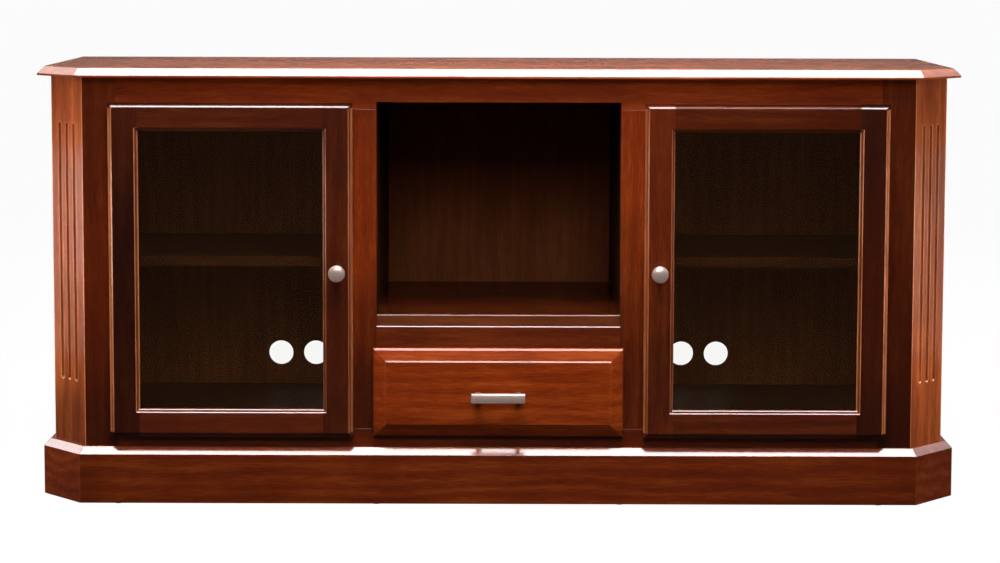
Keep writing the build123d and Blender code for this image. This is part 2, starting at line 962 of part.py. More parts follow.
def channel(side, web_x, way, height, flange):
    """A channel along Y whose web stands at web_x and whose flanges run the given way in X."""
    block(
        (side * web_x, side * (web_x + way * slide_wall)),
        slide_ys,
        (slide_z - height / 2, slide_z + height / 2),
    )
    for edge in (-1, 1):
        block(
            (side * web_x, side * (web_x + way * flange)),
            slide_ys,
            (slide_z + edge * height / 2, slide_z + edge * (height / 2 - slide_wall)),
        )


with BuildPart() as slide_outer:
    for side, _ in sides:
        channel(side, bay_half, -1, outer_height, outer_flange)
finish(slide_outer, "slide_outer_members")

with BuildPart() as slide_middle:
    for side, _ in sides:
        channel(side, bay_half - slide_wall - middle_web_gap, -1, middle_height, middle_flange)
finish(slide_middle, "slide_middle_members")

with BuildPart() as slide_inner:
    for side, _ in sides:
        channel(side, box_half, 1, inner_height, inner_flange)
finish(slide_inner, "slide_inner_members")
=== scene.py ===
"""A TV stand in stained cherry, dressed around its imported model. Lengths are metres."""

import itertools
import math

import bmesh
import bpy
from mathutils import Matrix, Vector


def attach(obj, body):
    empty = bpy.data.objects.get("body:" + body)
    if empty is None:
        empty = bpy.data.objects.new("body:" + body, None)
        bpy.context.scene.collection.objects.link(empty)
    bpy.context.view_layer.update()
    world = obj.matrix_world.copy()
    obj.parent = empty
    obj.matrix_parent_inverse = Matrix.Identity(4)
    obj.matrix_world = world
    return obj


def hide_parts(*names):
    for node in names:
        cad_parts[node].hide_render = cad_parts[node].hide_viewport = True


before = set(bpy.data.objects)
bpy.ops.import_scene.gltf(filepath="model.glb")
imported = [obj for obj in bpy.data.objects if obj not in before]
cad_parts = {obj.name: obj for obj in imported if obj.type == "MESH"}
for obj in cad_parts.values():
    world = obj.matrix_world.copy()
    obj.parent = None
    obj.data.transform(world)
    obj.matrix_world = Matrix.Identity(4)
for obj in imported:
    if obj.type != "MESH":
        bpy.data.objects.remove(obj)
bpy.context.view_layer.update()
scene = bpy.context.scene
scene.view_settings.view_transform = "Standard"

# The camera stands in front of the stand, a little above its top, and looks slightly down at it.
# Its lens axis passes above the middle of the picture, as in a shot made square to the front.
PHOTO_WIDTH = 1000
SENSOR_WIDTH = 36
FOCAL_PIXELS = 2331.2
AXIS_RISE_PIXELS = 130
CAMERA_PLACE = (0.0062, -4.5955, 1.0379)
CAMERA_PITCH = 0.0835
CAMERA_YAW = 0.00089
CAMERA_ROLL = -0.00278

camera_data = bpy.data.cameras.new("front_camera")
camera_data.sensor_width = SENSOR_WIDTH
camera_data.lens = FOCAL_PIXELS * SENSOR_WIDTH / PHOTO_WIDTH
camera_data.shift_y = -AXIS_RISE_PIXELS / PHOTO_WIDTH
camera = bpy.data.objects.new("front_camera", camera_data)
camera.matrix_world = (
    Matrix.Translation(CAMERA_PLACE)
    @ Matrix.Rotation(CAMERA_YAW, 4, "Z")
    @ Matrix.Rotation(math.pi / 2 - CAMERA_PITCH, 4, "X")
    @ Matrix.Rotation(-CAMERA_ROLL, 4, "Z")
)
scene.collection.objects.link(camera)
scene.camera = camera


# The floor is plain, pale and matt, and runs out to the horizon. The camera sees it white, also
# through the glass, polished faces see it dimmer, and it keeps the stand's soft shadow.
def place_node(tree, kind, inputs=None, **settings):
    """A new shader node with its settings, and its inputs set to values or linked to sockets."""
    node = tree.nodes.new(kind)
    for key, value in settings.items():
        setattr(node, key, value)
    for key, value in (inputs or {}).items():
        if isinstance(value, bpy.types.NodeSocket):
            tree.links.new(value, node.inputs[key])
        else:
            node.inputs[key].default_value = value
    return node


def number(tree, operation, first, second, clamp=False):
    """The result socket of one sum on two numbers or sockets."""
    node = place_node(tree, "ShaderNodeMath", {0: first, 1: second}, operation=operation)
    node.use_clamp = clamp
    return node.outputs[0]


def blend(tree, share, first, second):
    """The result socket of two numbers blended by a share."""
    inputs = {0: share, 2: first, 3: second}
    return place_node(tree, "ShaderNodeMix", inputs, data_type="FLOAT").outputs[0]


def new_material(name):
    """An empty node material and its tree, with an output node."""
    material = bpy.data.materials.new(name)
    material.use_nodes = True
    tree = material.node_tree
    tree.nodes.clear()
    output = place_node(tree, "ShaderNodeOutputMaterial")
    return material, tree, output


def background_share(tree, white, glossy, rest):
    """How bright the background is: seen or through glass, off a polished face, and else."""
    rays = place_node(tree, "ShaderNodeLightPath").outputs
    lit_from_inside = number(tree, "MINIMUM", rays["Diffuse Depth"], 1.0)
    from_outside = number(tree, "SUBTRACT", 1.0, lit_from_inside)
    through_glass = number(tree, "MULTIPLY", rays["Is Transmission Ray"], from_outside)
    seen = number(tree, "MAXIMUM", rays["Is Camera Ray"], through_glass)
    return blend(tree, seen, blend(tree, rays["Is Glossy Ray"], rest, glossy), white)


FLOOR_REACH = 60
FLOOR_COLOR = (0.04, 0.0385, 0.037, 1)
FLOOR_GLOW = 0.96
FLOOR_SHINE = 0.08

floor_material, tree, output = new_material("pale_floor")
floor_shader = place_node(
    tree,
    "ShaderNodeBsdfPrincipled",
    {
        "Base Color": FLOOR_COLOR,
        "Roughness": 0.9,
        "Specular IOR Level": 0.0,
        "Emission Color": (1, 1, 1, 1),
        "Emission Strength": background_share(tree, FLOOR_GLOW, FLOOR_SHINE, 0.0),
    },
)
tree.links.new(floor_shader.outputs[0], output.inputs["Surface"])

plane = bmesh.new()
bmesh.ops.create_grid(plane, x_segments=1, y_segments=1, size=FLOOR_REACH)
floor_mesh = bpy.data.meshes.new("floor")
plane.to_mesh(floor_mesh)
plane.free()
floor_mesh.materials.append(floor_material)
floor = bpy.data.objects.new("floor", floor_mesh)
scene.collection.objects.link(floor)

# The surround is a white studio. The camera sees it even, also through the glass. Metal and lacquer
# see it white overhead and dimmer towards the horizon, and it fills the shadows with a low light.
FILL_STRENGTH = 0.12
HORIZON_STRENGTH = 0.17
HORIZON_RISE = 0.06
OVERHEAD_RISE = 0.6

world = bpy.data.worlds.new("studio")
scene.world = world
world.use_nodes = True
tree = world.node_tree
tree.nodes.clear()
place = place_node(tree, "ShaderNodeTexCoord")
rise = place_node(tree, "ShaderNodeSeparateXYZ", {0: place.outputs["Generated"]}).outputs["Z"]
overhead = place_node(
    tree,
    "ShaderNodeMapRange",
    {
        "Value": rise,
        "From Min": HORIZON_RISE,
        "From Max": OVERHEAD_RISE,
        "To Min": HORIZON_STRENGTH,
        "To Max": 1.0,
    },
).outputs[0]
background = place_node(
    tree,
    "ShaderNodeBackground",
    {"Color": (1, 1, 1, 1), "Strength": background_share(tree, 1.0, overhead, FILL_STRENGTH)},
)
world_output = place_node(tree, "ShaderNodeOutputWorld")
tree.links.new(background.outputs[0], world_output.inputs["Surface"])


# The lamps are soft: one overhead, one at each side with a small low one, and one each in front and
# behind. Strips and panels are there for the lacquer's shine alone, and metal and glass go without.
def soft_lamp(name, place, target, width, height, watts, spread=180):
    """A rectangular lamp that faces a target, with the spread of its light in degrees."""
    data = bpy.data.lights.new(name, "AREA")
    data.shape = "RECTANGLE"
    data.size = width
    data.size_y = height
    data.energy = watts
    data.spread = math.radians(spread)
    lamp = bpy.data.objects.new(name, data)
    lamp.location = place
    lamp.rotation_mode = "QUATERNION"
    lamp.rotation_quaternion = (Vector(target) - Vector(place)).to_track_quat("-Z", "Y")
    scene.collection.objects.link(lamp)
    return lamp


for name, place, target, width, height, watts, spread in (
    ("ceiling_lamp", (0.0, -1.15, 2.7), (0.0, -0.85, 0.0), 1.6, 0.7, 62, 95),
    ("front_lamp", (0.1, -2.6, 1.9), (0.0, -0.2, 0.35), 1.2, 0.8, 5, 55),
    ("left_lamp", (-3.2, -0.62, 0.9), (-0.8, -0.2, 0.5), 1.4, 1.4, 48, 180),
    ("right_lamp", (3.2, -0.62, 0.9), (0.8, -0.2, 0.5), 1.4, 1.4, 48, 180),
    ("left_low_lamp", (-2.0, -0.42, 0.5), (-0.85, -0.2, 0.5), 0.5, 0.3, 2.0, 35),
    ("right_low_lamp", (2.0, -0.42, 0.5), (0.85, -0.2, 0.5), 0.5, 0.3, 1.5, 35),
    ("back_lamp", (0.3, 3.0, 2.2), (0.0, 0.27, 0.4), 2.6, 1.4, 60, 180),
):
    lamp = soft_lamp(name, place, target, width, height, watts, spread)
    lamp.visible_glossy = name == "front_lamp"

out_of_strips = bpy.data.collections.new("out_of_strips")
for name, place, target, width, height, watts in (
    ("ceiling_strip", (0.0, -0.5, 2.65), (0.0, -0.5, 0.0), 3.4, 0.9, 1150),
    ("front_strip", (0.0, -1.75, 2.45), (0.0, -0.24, 0.2), 3.4, 1.1, 1000),
    ("left_strip", (-6.08, 4.5, 5.6), (-0.83, -0.2, 0.82), 1.2, 1.2, 50),
    ("right_strip", (6.08, 4.5, 5.6), (0.83, -0.2, 0.82), 1.2, 1.2, 22),
    ("left_low_strip", (-6.91, 3.46, 4.79), (-0.83, -0.2, 0.1), 1.2, 1.2, 150),
    ("right_low_strip", (6.91, 3.46, 4.79), (0.83, -0.2, 0.1), 1.2, 1.2, 42),
    ("left_panel", (-2.75, -1.0, 0.28), (-0.6, -0.2, 0.28), 2.6, 0.36, 30),
    ("right_panel", (2.75, -1.0, 0.2), (0.6, -0.2, 0.2), 2.6, 0.36, 8),
    ("left_sheen", (-1.9, 0.1, 0.34), (-0.85, 0.1, 0.34), 1.0, 0.5, 3.5),
    ("right_sheen", (1.9, 0.1, 0.34), (0.85, 0.1, 0.34), 1.0, 0.5, 2.5),
):
    strip = soft_lamp(name, place, target, width, height, watts)
    strip.visible_diffuse = False
    strip.light_linking.receiver_collection = out_of_strips


def keep_out_of_strips(part):
    """Leave a metal part or a pane out of the light that is there for the lacquer."""
    out_of_strips.objects.link(part)
    out_of_strips.collection_objects[-1].light_linking.link_state = "EXCLUDE"


# The top is one wide board of flat-sawn cherry with a bevelled edge, stained red-brown and
# lacquered to a satin gloss. Screws from the stretchers below hold it.
GRAIN_COLORS = ((0.05, 0.005, 0.0006, 1), (0.13, 0.0165, 0.0016, 1), (0.25, 0.046, 0.0062, 1))
# The colour below lightens worn edges, and it also stands in for painted highlights and painted
# light.
WORN_AND_HIGHLIGHT_COLOR = (0.46, 0.145, 0.052, 1)
NOISE_MIDDLE = 0.5
PATCH_STRENGTH = 0.8
STREAK_STRENGTH = 0.5
PORE_STRENGTH = 0.7
WEAR_AND_HIGHLIGHT_RADIUS = 0.003
WEAR_AND_HIGHLIGHT_SHARPNESS = 8.0
WOOD_ROUGHNESS = 0.42
PORE_ROUGHNESS = 0.5
PORE_HEIGHT = 0.7


def make_cherry_grain():
    """The node group for stained cherry: its grain runs along Z of the vector that it is given."""
    group = bpy.data.node_groups.new("cherry_grain", "ShaderNodeTree")
    for name, kind in (
        ("Vector", "NodeSocketVector"),
        ("Tone", "NodeSocketFloat"),
        ("Figure", "NodeSocketFloat"),
        ("Wear_And_Highlight", "NodeSocketFloat"),
        ("Painted_Light", "NodeSocketFloat"),
        ("Dark", "NodeSocketColor"),
        ("Middle", "NodeSocketColor"),
        ("Light", "NodeSocketColor"),
    ):
        group.interface.new_socket(name, in_out="INPUT", socket_type=kind)
    for name, kind in (
        ("Color", "NodeSocketColor"),
        ("Roughness", "NodeSocketFloat"),
        ("Height", "NodeSocketFloat"),
    ):
        group.interface.new_socket(name, in_out="OUTPUT", socket_type=kind)
    entry = place_node(group, "NodeGroupInput").outputs
    result = place_node(group, "NodeGroupOutput")

    def texture(kind, stretch, scale, detail, settings=None, **inputs):
        """The value of a texture that is drawn out along the grain."""
        vector = place_node(
            group,
            "ShaderNodeVectorMath",
            {0: entry["Vector"], 1: (1, 1, stretch)},
            operation="MULTIPLY",
        ).outputs[0]
        inputs = {"Vector": vector, "Scale": scale, "Detail": detail, **inputs}
        return place_node(group, kind, inputs, **(settings or {})).outputs["Fac"]

    def swing(value, strength):
        """A texture's swing about its middle value, times a strength."""
        return number(group, "MULTIPLY", number(group, "SUBTRACT", value, NOISE_MIDDLE), strength)

    def mixed(share, first, second):
        """Two colours blended by a share."""
        inputs = {0: share, 6: first, 7: second}
        return place_node(group, "ShaderNodeMix", inputs, data_type="RGBA").outputs[2]

    blotch = texture("ShaderNodeTexNoise", 0.35, 11.0, 4.0, Roughness=0.6)
    rings = texture(
        "ShaderNodeTexWave",
        0.16,
        11.0,
        3.0,
        {"wave_type": "BANDS", "bands_direction": "X", "wave_profile": "SIN"},
        **{"Distortion": 9.0, "Detail Scale": 1.1, "Detail Roughness": 0.55},
    )
    streak = texture("ShaderNodeTexNoise", 0.07, 90.0, 3.0, Roughness=0.6)
    pore = texture("ShaderNodeTexNoise", 0.08, 420.0, 2.0, Roughness=0.6)
    figure = swing(rings, entry["Figure"])
    patch = swing(blotch, PATCH_STRENGTH)
    fine = swing(streak, STREAK_STRENGTH)
    dots = swing(pore, PORE_STRENGTH)
    broad = number(group, "ADD", figure, patch)
    value = number(group, "ADD", broad, number(group, "ADD", fine, dots))
    doubled = number(group, "MULTIPLY", value, 2.0)
    lower = number(group, "ADD", doubled, 1.0, clamp=True)
    upper = number(group, "MULTIPLY", value, 2.0, clamp=True)
    deep = mixed(lower, entry["Dark"], entry["Middle"])
    bright = mixed(upper, deep, entry["Light"])
    # Edges take the worn colour, partly as real wear and partly as a painted highlight, and the
    # painted-light areas take it too.
    surface = place_node(group, "ShaderNodeNewGeometry")
    rounded = place_node(group, "ShaderNodeBevel", {"Radius": WEAR_AND_HIGHLIGHT_RADIUS}, samples=4)
    facing = place_node(
        group,
        "ShaderNodeVectorMath",
        {0: surface.outputs["Normal"], 1: rounded.outputs[0]},
        operation="DOT_PRODUCT",
    ).outputs["Value"]
    turned_away = number(group, "SUBTRACT", 1.0, facing)
    edge = number(group, "MULTIPLY", turned_away, WEAR_AND_HIGHLIGHT_SHARPNESS, clamp=True)
    worn_and_highlight_edge = number(group, "MULTIPLY", edge, entry["Wear_And_Highlight"])
    worn_and_highlight_share = number(group, "MAXIMUM", worn_and_highlight_edge, entry["Painted_Light"])
    uneven = number(group, "MULTIPLY", streak, 2.0)
    lightened = number(group, "MULTIPLY", worn_and_highlight_share, uneven, clamp=True)
    toned = place_node(
        group, "ShaderNodeVectorMath", {0: bright, "Scale": entry["Tone"]}, operation="SCALE"
    ).outputs[0]
    group.links.new(mixed(lightened, toned, WORN_AND_HIGHLIGHT_COLOR), result.inputs["Color"])
    open_pores = number(group, "MULTIPLY", dots, PORE_ROUGHNESS)
    rough = number(group, "ADD", open_pores, WOOD_ROUGHNESS)
    group.links.new(rough, result.inputs["Roughness"])
    height = number(group, "ADD", number(group, "MULTIPLY", pore, PORE_HEIGHT), fine)
    group.links.new(height, result.inputs["Height"])
    return group


cherry_grain = make_cherry_grain()
GRAIN_TURNS = {"Z": (0, 0, 0), "X": (0, -math.pi / 2, 0), "Y": (math.pi / 2, 0, 0)}
BOARD_STEP = (0.613, 0.287, 1.37)
GRAIN_BUMP = 0.12
GRAIN_DEPTH = 0.0004
WOOD_SHINE = 0.01
LACQUER_IOR = 1.25
board_numbers = itertools.count(1)


def tone_with_painted_light(tree, height, tone, painted_light_by_height):
    """Painted light and shade by height: the tone times a share from (height, share) pairs, lowest
    first.
    """
    most = max(share for _, share in painted_light_by_height)
    ramp = place_node(tree, "ShaderNodeValToRGB", {0: height})
    stops = ramp.color_ramp.elements
    while len(stops) < len(painted_light_by_height):
        stops.new(0.5)
    for stop, (position, share) in zip(stops, painted_light_by_height):
        stop.position = position
        stop.color = (share / most, share / most, share / most, 1)
    return number(tree, "MULTIPLY", ramp.outputs[0], tone * most)


def painted_light_share(tree, spot, nearest, farthest, middle, half_height, share, hollow=None):
    """How much painted light lightens the wood between two depths and two heights, with none in the
    hollow.
    """
    behind_face = number(tree, "GREATER_THAN", spot["Y"], nearest)
    ahead_of_back = number(tree, "LESS_THAN", spot["Y"], farthest)
    in_depth = number(tree, "MULTIPLY", behind_face, ahead_of_back)
    between_ends = number(tree, "COMPARE", spot["Z"], middle)
    between_ends.node.inputs[2].default_value = half_height
    on_moulding = number(tree, "MULTIPLY", in_depth, between_ends)
    if hollow is not None:
        off_hollow = number(tree, "ABSOLUTE", number(tree, "SUBTRACT", spot["Y"], hollow), 0.0)
        share = number(tree, "MULTIPLY", off_hollow, share / abs(nearest - hollow))
    return number(tree, "MULTIPLY", on_moulding, share)


def stained_board(
    name,
    along,
    tone,
    figure,
    colors=GRAIN_COLORS,
    coat=0.6,
    coat_roughness=0.12,
    wear_and_highlight=0.0,
    painted_light_area=None,
    painted_light_by_height=None,
):
    """Lacquered wood for one board, with its grain along an axis and a stretch of its own, and any
    painted light and shade by height or on a given area.
    """
    material, tree, output = new_material(name)
    place = place_node(tree, "ShaderNodeTexCoord").outputs["Object"]
    spot = place_node(tree, "ShaderNodeSeparateXYZ", {0: place}).outputs
    board_number = next(board_numbers)
    own_stretch = place_node(
        tree,
        "ShaderNodeMapping",
        {
            "Vector": place,
            "Location": tuple(step * board_number for step in BOARD_STEP),
            "Rotation": GRAIN_TURNS[along],
        },
    )
    grain = place_node(
        tree,
        "ShaderNodeGroup",
        {
            "Vector": own_stretch.outputs[0],
            "Tone": tone_with_painted_light(tree, spot["Z"], tone, painted_light_by_height) if painted_light_by_height else tone,
            "Figure": figure,
            "Wear_And_Highlight": wear_and_highlight,
            "Painted_Light": painted_light_share(tree, spot, **painted_light_area) if painted_light_area else 0.0,
            **dict(zip(("Dark", "Middle", "Light"), colors)),
        },
        node_tree=cherry_grain,
    ).outputs
    bump = place_node(
        tree,
        "ShaderNodeBump",
        {"Strength": GRAIN_BUMP, "Distance": GRAIN_DEPTH, "Height": grain["Height"]},
    )
    shader = place_node(
        tree,
        "ShaderNodeBsdfPrincipled",
        {
            "Base Color": grain["Color"],
            "Roughness": grain["Roughness"],
            "Normal": bump.outputs[0],
            "Specular IOR Level": WOOD_SHINE,
            "Coat Weight": coat,
            "Coat Roughness": coat_roughness,
            "Coat IOR": LACQUER_IOR,
        },
    )
    tree.links.new(shader.outputs[0], output.inputs["Surface"])
    return material


def make_flat_faces():
    """The modifier group that shades every face flat, so that only the rounded edges blend."""
    group = bpy.data.node_groups.new("flat_faces", "GeometryNodeTree")
    for side in ("INPUT", "OUTPUT"):
        group.interface.new_socket("Geometry", in_out=side, socket_type="NodeSocketGeometry")
    entry = place_node(group, "NodeGroupInput")
    flat = place_node(
        group, "GeometryNodeSetShadeSmooth", {"Geometry": entry.outputs[0], "Shade Smooth": False}
    )
    place_node(group, "NodeGroupOutput", {0: flat.outputs[0]})
    return group


flat_faces = make_flat_faces()
MERGE_DISTANCE = 0.00001
SHARP_ANGLE = math.radians(35)


def dress(node, material, soft_edge=0.0):
    """Give a model part its material, and round its sharp edges by a small radius."""
    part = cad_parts[node]
    part.data.materials.clear()
    part.data.materials.append(material)
    if soft_edge:
        part.modifiers.new("flat_faces", "NODES").node_group = flat_faces
        weld = part.modifiers.new("weld", "WELD")
        weld.merge_threshold = MERGE_DISTANCE
        rounding = part.modifiers.new("soft_edges", "BEVEL")
        rounding.width = soft_edge
        rounding.segments = 2
        rounding.limit_method = "ANGLE"
        rounding.angle_limit = SHARP_ANGLE
        rounding.harden_normals = True


TOP_COLORS = ((0.115, 0.018, 0.0035, 1), (0.185, 0.034, 0.0075, 1), (0.29, 0.078, 0.025, 1))
top_cherry = stained_board("top_cherry", "X", 0.93, 0.35, TOP_COLORS, coat=0.55)
dress("top_board", top_cherry, soft_edge=0.001)

# The corner posts are solid cherry, set at 45 degrees and cut with three stopped flutes each.
# They are glued between the face frame and the side panels, and are toned lighter than the frame,
# which is partly a painted sheen.
POST_COLORS = ((0.055, 0.009, 0.0016, 1), (0.14, 0.026, 0.0046, 1), (0.27, 0.07, 0.016, 1))
LEFT_POST_PAINTED_LIGHT = (
    (0.18, 0.72),
    (0.24, 1.1),
    (0.31, 0.95),
    (0.38, 0.85),
    (0.58, 1.06),
    (0.645, 1.05),
    (0.72, 1.2),
)
RIGHT_POST_PAINTED_LIGHT = (
    (0.18, 1.06),
    (0.245, 1.17),
    (0.31, 1.05),
    (0.38, 0.87),
    (0.45, 0.75),
    (0.645, 0.67),
    (0.72, 0.89),
)
# Painted light and shade change the posts' tone with height, and their flute edges take the worn
# colour partly as painted highlights.
for hand, painted_light_by_height in (("left", LEFT_POST_PAINTED_LIGHT), ("right", RIGHT_POST_PAINTED_LIGHT)):
    material = stained_board(
        f"post_cherry_{hand}", "Z", 1.1, 0.2, POST_COLORS, wear_and_highlight=0.9, painted_light_by_height=painted_light_by_height
    )
    dress(f"corner_post_{hand}", material)

# The face frame is made of cherry stiles, mullions and rails, doweled and glued flush.
# Stiles and mullions have upright grain and the rails have level grain.
LEFT_STILE_PAINTED_LIGHT = (
    (0.18, 0.66),
    (0.3, 0.95),
    (0.45, 1.2),
    (0.51, 1.2),
    (0.6, 0.9),
    (0.74, 0.88),
    (0.78, 1.8),
)
RIGHT_STILE_PAINTED_LIGHT = (
    (0.18, 0.56),
    (0.25, 0.74),
    (0.51, 0.78),
    (0.645, 0.86),
    (0.74, 1.1),
    (0.78, 2.0),
)
LEFT_MULLION_PAINTED_LIGHT = (
    (0.2, 0.35),
    (0.245, 0.38),
    (0.31, 0.6),
    (0.378, 0.74),
    (0.45, 1.14),
    (0.6, 1.1),
    (0.72, 0.85),
)
RIGHT_MULLION_PAINTED_LIGHT = (
    (0.2, 0.53),
    (0.31, 0.5),
    (0.378, 0.65),
    (0.45, 0.84),
    (0.52, 0.92),
    (0.58, 1.25),
    (0.7, 1.2),
)
# Each member's tone and its change with height are painted light and shade: the top rail is lighter
# against the shadow under the top, and the stiles are darker where the light falls off at the ends.
for node, along, tone, coat, soft_edge, painted_light_by_height in (
    ("face_stile_left", "Z", 0.35, 0.6, 0.0004, LEFT_STILE_PAINTED_LIGHT),
    ("face_stile_right", "Z", 0.27, 0.6, 0.0004, RIGHT_STILE_PAINTED_LIGHT),
    ("face_mullion_left", "Z", 0.62, 0.6, 0.0004, LEFT_MULLION_PAINTED_LIGHT),
    ("face_mullion_right", "Z", 0.62, 0.6, 0.0004, RIGHT_MULLION_PAINTED_LIGHT),
    ("face_rail_top", "X", 1.0, 0.6, 0.0004, None),
    ("face_rail_middle", "X", 0.38, 1.0, 0.0034, None),
    ("face_rail_bottom", "X", 0.38, 0.6, 0.0004, None),
):
    material = stained_board(f"{node}_cherry", along, tone, 0.12, coat=coat, painted_light_by_height=painted_light_by_height)
    dress(node, material, soft_edge)

# The case behind the frame is veneered board: sides, partitions, bottom, deck and the thin back.
# Inside it has the same stain with no coat, painted darker as the shade inside the case.
INSIDE_PAINTED_SHADE_COLORS = (
    (0.015, 0.004, 0.0014, 1),
    (0.028, 0.0078, 0.0025, 1),
    (0.043, 0.013, 0.0045, 1),
)
# This is where painted light lightens the deck's front edge.
DECK_FRONT_PAINTED_LIGHT_PLACE = {"nearest": -0.3, "farthest": -0.19, "middle": 0.35, "half_height": 0.1}


def inside_board(name, along, tone):
    """A board inside the case, with no coat and darker colours that are painted shade."""
    return stained_board(name, along, tone, 0.12, INSIDE_PAINTED_SHADE_COLORS, coat=0.0, coat_roughness=0.3)


for hand in ("left", "right"):
    dress(f"side_panel_{hand}", stained_board(f"side_cherry_{hand}", "Z", 0.9, 0.2))
    dress(f"partition_{hand}", inside_board(f"partition_cherry_{hand}", "Z", 0.5))
# The deck is toned dark as painted shade, and painted light lightens its front edge.
deck_cherry = stained_board("deck_cherry", "X", 0.2, 0.12, painted_light_area={**DECK_FRONT_PAINTED_LIGHT_PLACE, "share": 0.08})
dress("bay_deck", deck_cherry, soft_edge=0.0006)
for node, along, tone in (
    ("bottom_board", "X", 0.7),
    ("deck_cleats", "Y", 1.0),
    ("back_panel", "Z", 2.5),
    ("top_stretchers", "X", 1.0),
):
    dress(node, inside_board(f"{node}_wood", along, tone))

# The skirting is mitred cherry with a bevel along its top edge, and it stands on plastic glides.
# A plain board closes it at the back.
for node, along, tone in (
    ("base_front", "X", 0.53),
    ("base_corner_left", "X", 0.85),
    ("base_corner_right", "X", 0.7),
    ("base_side_left", "Y", 0.8),
    ("base_side_right", "Y", 0.8),
    ("base_back", "X", 0.8),
):
    dress(node, stained_board(f"{node}_cherry", along, tone, 0.2, wear_and_highlight=0.06), soft_edge=0.0006)

GRIT_SCALE = 900.0
GRIT_DEPTH = 0.0002
SHADE_SWING = 0.15
ROUGHNESS_SWING = 0.05


def plain_finish(name, color, roughness, metallic=0.0, grit=0.0):
    """A finish of one colour with a fine surface texture."""
    material, tree, output = new_material(name)
    place = place_node(tree, "ShaderNodeTexCoord").outputs["Object"]
    grains = place_node(
        tree,
        "ShaderNodeTexNoise",
        {"Vector": place, "Scale": GRIT_SCALE, "Detail": 3.0, "Roughness": 0.6},
    ).outputs["Fac"]
    shade = place_node(
        tree,
        "ShaderNodeMapRange",
        {"Value": grains, "To Min": 1 - SHADE_SWING, "To Max": 1 + SHADE_SWING},
    ).outputs[0]
    tinted = place_node(
        tree, "ShaderNodeVectorMath", {0: color, "Scale": shade}, operation="SCALE"
    ).outputs[0]
    rough = place_node(
        tree,
        "ShaderNodeMapRange",
        {
            "Value": grains,
            "To Min": roughness - ROUGHNESS_SWING,
            "To Max": roughness + ROUGHNESS_SWING,
        },
    ).outputs[0]
    bump = place_node(
        tree, "ShaderNodeBump", {"Strength": grit, "Distance": GRIT_DEPTH, "Height": grains}
    ).outputs[0]
    shader = place_node(
        tree,
        "ShaderNodeBsdfPrincipled",
        {"Base Color": tinted, "Roughness": rough, "Metallic": metallic, "Normal": bump},
    )
    tree.links.new(shader.outputs[0], output.inputs["Surface"])
    return material


dress("floor_glides", plain_finish("glide_nylon", (0.05, 0.045, 0.04), 0.6, grit=0.2))

# Each door bay has an adjustable shelf of the same board, painted dark as shade, on four short
# steel pins.
zinc = plain_finish("zinc_steel", (0.55, 0.55, 0.56), 0.38, metallic=1.0, grit=0.1)
for hand in ("left", "right"):
    dress(f"shelf_{hand}", inside_board(f"shelf_wood_{hand}", "X", 0.9))
dress("shelf_pins", zinc)

# The doors are cherry frames with a moulded inner and outer edge. Stiles run the full height and
# the rails fit between them. Painted highlights lighten the mouldings, with none in the hollows.
MOULDING_PAINTED_LIGHT_PLACE = {
    "nearest": -0.2397,
    "farthest": -0.2225,
    "middle": 0.4457,
    "half_height": 0.308,
    "hollow": -0.2366,
}
LEFT_HINGE_STILE_PAINTED_LIGHT = (
    (0.16, 1.2),
    (0.2, 1.05),
    (0.3, 0.8),
    (0.45, 0.7),
    (0.58, 0.72),
    (0.645, 1.3),
    (0.71, 1.75),
    (0.75, 2.1),
)
LEFT_KNOB_STILE_PAINTED_LIGHT = (
    (0.13, 1.0),
    (0.18, 0.72),
    (0.25, 0.88),
    (0.32, 0.85),
    (0.45, 1.1),
    (0.55, 1.0),
    (0.645, 0.7),
    (0.71, 0.86),
)
RIGHT_HINGE_STILE_PAINTED_LIGHT = ((0.13, 1.3), (0.25, 1.5), (0.45, 1.6), (0.6, 1.4), (0.71, 1.2))
RIGHT_KNOB_STILE_PAINTED_LIGHT = (
    (0.13, 0.75),
    (0.18, 0.58),
    (0.31, 0.48),
    (0.38, 0.8),
    (0.51, 0.93),
    (0.71, 1.0),
)
# Each member's tone and its change with height are painted light and shade, and the hinge stiles
# are darkest, where the light falls off at the ends.
DOOR_MEMBERS = {
    "left": (
        ("hinge_stile", "Z", 0.11, 0.8, 0.55, LEFT_HINGE_STILE_PAINTED_LIGHT),
        ("knob_stile", "Z", 0.23, 0.8, 0.25, LEFT_KNOB_STILE_PAINTED_LIGHT),
        ("top_rail", "X", 0.25, 1.0, 0.08, None),
        ("bottom_rail", "X", 0.36, 1.0, 0.08, None),
    ),
    "right": (
        ("hinge_stile", "Z", 0.11, 0.8, 0.55, RIGHT_HINGE_STILE_PAINTED_LIGHT),
        ("knob_stile", "Z", 0.42, 0.8, 0.25, RIGHT_KNOB_STILE_PAINTED_LIGHT),
        ("top_rail", "X", 0.25, 0.15, 0.08, None),
        ("bottom_rail", "X", 0.3, 1.0, 0.08, None),
    ),
}
for hand, members in DOOR_MEMBERS.items():
    for member, along, tone, coat, lightened, painted_light_by_height in members:
        node = f"{hand}_door_{member}"
        painted_light_area = {**MOULDING_PAINTED_LIGHT_PLACE, "share": lightened}
        material = stained_board(
            f"{node}_cherry", along, tone, 0.12, coat=coat, painted_light_area=painted_light_area, painted_light_by_height=painted_light_by_height
        )
        dress(node, material)
    dress(f"{hand}_door_glass_stops", stained_board(f"{hand}_stop_cherry", "Z", 0.4, 0.1))

